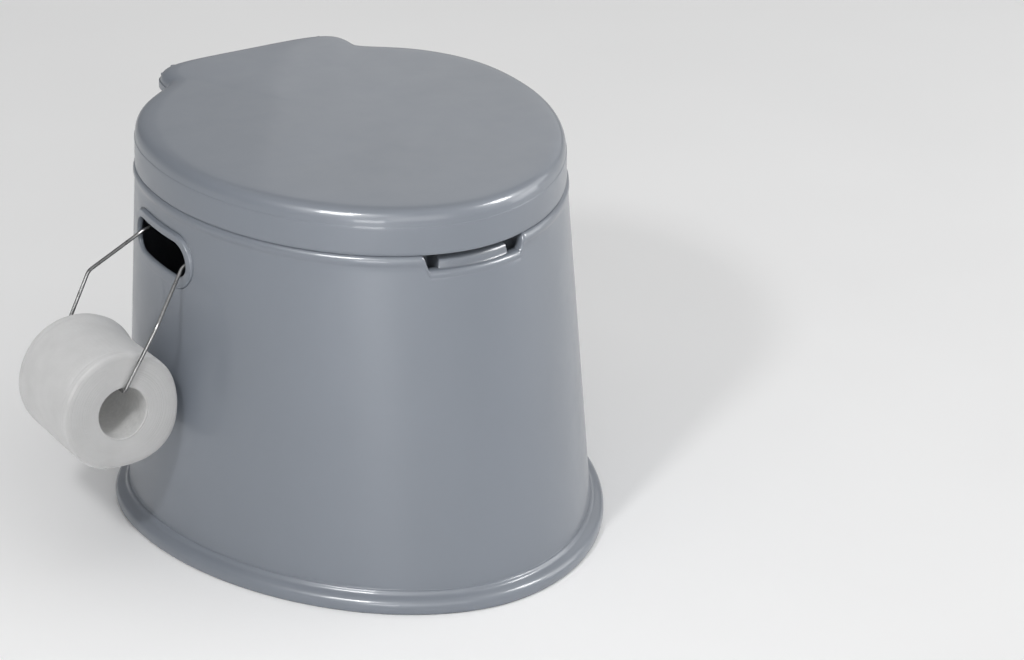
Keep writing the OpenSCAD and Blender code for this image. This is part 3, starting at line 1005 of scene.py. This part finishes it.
def wire_path():
    """From the front hook round the bar to the rear hook, with every corner rounded."""
    half = [
        (-BEND_X, HANDLE_Y - HOOK - 12, BEND_Z),
        (-BEND_X, HANDLE_Y - HOOK, BEND_Z),
        (-BEND_X - 11, HANDLE_Y - HOOK, BEND_Z - 5),
        (ROLL_X + 30, HANDLE_Y - BAR - 5, ROLL_Z + 75.5),
        (ROLL_X, HANDLE_Y - BAR, BAR_Z),
    ]
    # The weight of the roll pulls the front hook down, so the rear hook rides higher.
    other = []
    for (x, y, z), lift, back in zip(reversed(half), (0, 0, 3.2, 2.2, 2.2), (0, 0, 2, 2, 2)):
        other.append((x, 2 * HANDLE_Y - y - back, z + lift))
    corners = [Vector(p) for p in half + other]
    path = [corners[0]]
    for p, q, r in zip(corners, corners[1:], corners[2:]):
        d = min(4.0, (p - q).length / 2, (r - q).length / 2)
        a, b = q + (p - q).normalized() * d, q + (r - q).normalized() * d
        for i in range(9):
            t = i / 8
            path.append(a * (1 - t) ** 2 + q * 2 * t * (1 - t) + b * t * t)
    return path + [corners[-1]]


def wire_object():
    """Round wire along the path, cut off flat at both ends."""
    path = wire_path()
    facing = Vector((0.8, 0, -0.6))  # no stretch of the wire runs along this
    rings = []
    for i, p in enumerate(path):
        ahead = path[min(i + 1, len(path) - 1)] - path[max(i - 1, 0)]
        t = ahead.normalized()
        u = facing.cross(t).normalized()
        v = t.cross(u)
        ring = []
        for k in range(20):
            turn = math.tau * k / 20
            ring.append(tuple(p + WIRE_R * (math.cos(turn) * u + math.sin(turn) * v)))
        rings.append(ring)
    return mesh_object("roll_holder_wire", *skin(rings), sharp=60)


wire = wire_object()


def slack(r, t):
    """The tube is pressed a little out of round, most at the bottom."""
    share = 1 - smooth(CORE_R + 1.5, CORE_R + 11, r)
    return share * (1.0 + 2.6 * max(0.0, -math.sin(t)) ** 2 - 0.5 * max(0.0, math.sin(t)))


def turned(profile, steps, shift):
    """Turns a profile of (radius, y) round the roll's middle; shift(r, y, t) gives the
    radius and the y that a point really has."""
    rings = []
    for r, y in profile:
        ring = []
        for i in range(steps):
            t = math.tau * i / steps
            radius, along = shift(r, y, t)
            x, z = ROLL_X + radius * math.cos(t), ROLL_Z + radius * math.sin(t)
            ring.append((x, ROLL_Y + along, z))
        rings.append(ring)
    return skin(rings, True)


def loose_paper(r, y, t):
    """Where a point of the wound paper really is: out of round, squeezed and wavy."""
    half = ROLL_HALF
    k = max(0.0, (r - CORE_R - 1.5) / (ROLL_R - CORE_R - 1.5))
    # The loose end of the outer sheet makes a low step along the roll.
    lap = ((t / math.tau + 0.30) % 1.0) * 0.5 - 0.5
    wave = 0.28 * math.sin(2 * t + 0.9) + 0.16 * math.sin(3 * t + 2.1) - 0.4
    ripple = 0.12 * math.sin(5 * t + y * 0.09) * math.sin(y * 0.13 + 1.0)
    # The middle of the roll is pressed in a little where it is gripped, most on top.
    pressed = smooth(half - 9, half - 27, y) * (1 - 0.45 * smooth(half - 30, -half, y))
    dip = 3.4 * pressed * max(0.0, math.cos(t - math.radians(52))) ** 3
    square = 1.5 * math.cos(4 * t) * smooth(-0.5, 0.5, math.cos(t + 0.7))
    radius = r + slack(r, t) + k * k * (lap + wave + ripple - dip - square)
    along = y + (0.35 * k * math.sin(3 * t + 1) if abs(y) > half - 3 else 0)
    return radius, max(-half, min(half, along))


def roll_shape():
    """Wound tissue: nearly round, with soft shoulders and a loose outer sheet."""
    # Each as (distance from the tube, the middle or the outside, distance from the end).
    at_tube = [
        (1.45, 2.2), (1.4, 1.7), (0.4, 1.5), (0.35, 1.1), (0.6, 0.5), (1.4, 0.3), (5, 0.25),
    ]
    end = [(30, 0), (36, 0.15), (42, 0)]
    shoulder = [
        (7, 0.15), (4.4, 0.5), (2.6, 1.2), (1.3, 2.3), (0.5, 3.8), (0.15, 5.2), (0.4, 5.8),
        (0.1, 6.4), (0, 9), (0.3, 9.6), (0.05, 10.2),
    ]
    profile = [(CORE_R + r, ROLL_HALF - y) for r, y in at_tube]
    profile += [(r, ROLL_HALF - y) for r, y in end]
    profile += [(ROLL_R - r, ROLL_HALF - y) for r, y in shoulder]
    profile += [(ROLL_R, ROLL_HALF - y) for y in range(13, 46, 4)]
    whole = [(r, -y) for r, y in profile] + [(r, y) for r, y in reversed(profile)]
    return turned(whole, 256, loose_paper)


def paper_roll():
    """The ends of the roll have their own material."""
    obj = mesh_object("paper_roll", *roll_shape(), sharp=0)
    obj.data.materials.append(paper_mat)
    obj.data.materials.append(paper_end_mat)
    for polygon in obj.data.polygons:
        middle = polygon.center * 1000
        reach = math.hypot(middle.x - ROLL_X, middle.z - ROLL_Z)
        if abs(middle.y - ROLL_Y) > ROLL_HALF - 3 and reach < ROLL_R - 2:
            polygon.material_index = 1
    return obj


roll = paper_roll()


def tube_wall(r, y, t):
    """The inside has a shallow groove along the tube's spiral seam."""
    seam = (t / math.tau + y / 150.0) % 1.0
    groove = 0.25 * math.exp(-(((seam - 0.5) / 0.012) ** 2)) if r < CORE_R + 0.05 else 0
    return r + slack(r, t) + groove, y


def core_shape():
    """A board tube with a spiral seam, and soft cut edges."""
    end = ROLL_HALF - 2
    profile = [(CORE_R + 1.35, -end + 0.3), (CORE_R + 0.7, -end), (CORE_R + 0.1, -end + 0.3)]
    profile += [(CORE_R, -end + 1 + (2 * end - 2) * i / 40) for i in range(41)]
    profile += [(CORE_R + 0.1, end - 0.3), (CORE_R + 0.7, end), (CORE_R + 1.35, end - 0.3)]
    return turned(profile, 128, tube_wall)


core = mesh_object("roll_core_tube", *core_shape(), sharp=60)

# ------------------------ who rides on what
finished(body, grey_mat, "body", "grey_plastic", "outer_body")
finished(seat, grey_mat, "seat", "grey_plastic", "seat")
finished(lid, grey_mat, "lid", "grey_plastic", "lid")
finished(bucket_obj, black_mat, "body", "black_plastic", "inner_bucket")
finished(cover, black_mat, "body", "black_plastic", "bucket_lid")
finished(wire, steel_mat, "holder", "steel", "roll_holder")
finished(core, board_mat, "roll", "cardboard", "roll_core")
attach(roll, "roll")
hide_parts("toilet_paper")
for name in ("hinge_pin_left", "hinge_pin_right"):
    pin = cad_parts[name]
    pin.data.materials.clear()
    pin.data.materials.append(steel_mat)

# ------------------------ the studio
scene = bpy.context.scene


def floor():
    """A wide pale floor, a little uneven in tone."""
    far = 9000
    corners = [(-far, -far, 0), (far, -far, 0), (far, far, 0), (-far, far, 0)]
    obj = mesh_object("floor", corners, [(0, 1, 2, 3)], sharp=0)
    mat, nodes, links, shader = material("floor_look")
    spots = noise(nodes, links, 3.0, 2.0)
    vary(nodes, links, spots, 0.93, 0.95, shader.inputs["Base Color"])
    shader.inputs["Roughness"].default_value = 0.95
    shader.inputs["Specular IOR Level"].default_value = 0.1
    obj.data.materials.append(mat)


floor()


def surroundings():
    """A bright even room, dimmer behind the object and most of all behind on its left."""
    world = bpy.data.worlds.new("studio")
    scene.world = world
    world.use_nodes = True
    nodes, links = world.node_tree.nodes, world.node_tree.links
    background = nodes["Background"]
    background.inputs["Strength"].default_value = 0.86
    heading = nodes.new("ShaderNodeTexCoord").outputs["Generated"]

    def shade(direction, stops):
        """A grey for every heading, by how far it goes in a direction."""
        along = nodes.new("ShaderNodeVectorMath")
        along.operation = "DOT_PRODUCT"
        along.inputs[1].default_value = direction
        links.new(heading, along.inputs[0])
        share = nodes.new("ShaderNodeMath")
        share.inputs[1].default_value = 0.5
        links.new(along.outputs["Value"], share.inputs[0])
        return ramp(nodes, links, share.outputs["Value"], stops).outputs["Color"]

    both = nodes.new("ShaderNodeVectorMath")
    both.operation = "MULTIPLY"
    on_the_left = shade((-0.46, 0.19, 0), [(0.0, 1.0), (0.5, 0.93), (1.0, 0.3)])
    behind = shade((0.2, 0.46, 0), [(0.0, 1.0), (0.5, 0.9), (0.9, 0.4)])
    links.new(on_the_left, both.inputs[0])
    links.new(behind, both.inputs[1])
    links.new(both.outputs["Vector"], background.inputs["Color"])


surroundings()


def toward(azimuth, elevation):
    """A direction seen from the object; azimuth 0 is in front of it, positive to its right."""
    a, e = math.radians(azimuth), math.radians(elevation)
    return Vector((math.sin(a) * math.cos(e), -math.cos(a) * math.cos(e), math.sin(e)))


def panel(name, azimuth, elevation, distance, width, height, radiance, mirrored_only=False):
    """A softbox that faces the object, or a card that only shows in reflections."""
    away = toward(azimuth, elevation)
    data = bpy.data.lights.new(name, "AREA")
    data.shape = "RECTANGLE"
    data.size, data.size_y = width, height
    data.energy = radiance * math.pi * width * height
    obj = bpy.data.objects.new(name, data)
    obj.location = Vector((0, 0, 0.18)) + away * distance
    obj.rotation_euler = (-away).to_track_quat("-Z", "Y").to_euler()
    obj.visible_diffuse = not mirrored_only
    scene.collection.objects.link(obj)


panel("overhead", 150, 80, 3.2, 3.4, 3.4, 0.25)
panel("front_soft", -15, 18, 2.3, 1.4, 1.0, 2.0)
panel("left_hard", -53, 42, 2.2, 0.2, 0.2, 100)
panel("left_card", -60, 38, 1.9, 0.52, 0.75, 24, True)
panel("left_low", -42, 3, 1.9, 0.5, 0.5, 9, True)
panel("right_soft", 75, 18, 2.1, 1.5, 0.9, 1.5)
panel("right_card", 56, 36, 1.9, 0.5, 0.75, 24, True)
panel("right_low", 70, 3, 1.9, 0.8, 0.5, 3, True)
panel("back_card_near", 132, 24, 2.4, 1.9, 1.1, 0.3, True)
panel("back_card_far", 137, 24, 2.4, 1.9, 1.1, 0.3, True)

# ------------------------ the camera
AIM = Vector((0, 0.044, 0.165))  # half way up the middle of the body
AZIMUTH, ELEVATION, ROLL_ANGLE, DISTANCE = -27.63, 23.96, -0.764, 4.006
LENS, SHIFT_X, SHIFT_Y = 160.896094, 0.157617188, -0.015869141


def main_view():
    """A long lens on the object, which stands left of the middle of the picture."""
    camera = bpy.data.cameras.new("camera")
    camera.sensor_width = 36
    camera.lens = LENS
    camera.shift_x, camera.shift_y = SHIFT_X, SHIFT_Y
    camera.clip_end = 50
    away = toward(AZIMUTH, ELEVATION)
    level = (-away).to_track_quat("-Z", "Y").to_matrix()
    view = bpy.data.objects.new("camera", camera)
    view.location = AIM + away * DISTANCE
    view.rotation_euler = (level @ Matrix.Rotation(math.radians(ROLL_ANGLE), 3, "Z")).to_euler()
    scene.collection.objects.link(view)
    scene.camera = view


main_view()
scene.view_settings.view_transform = "Standard"
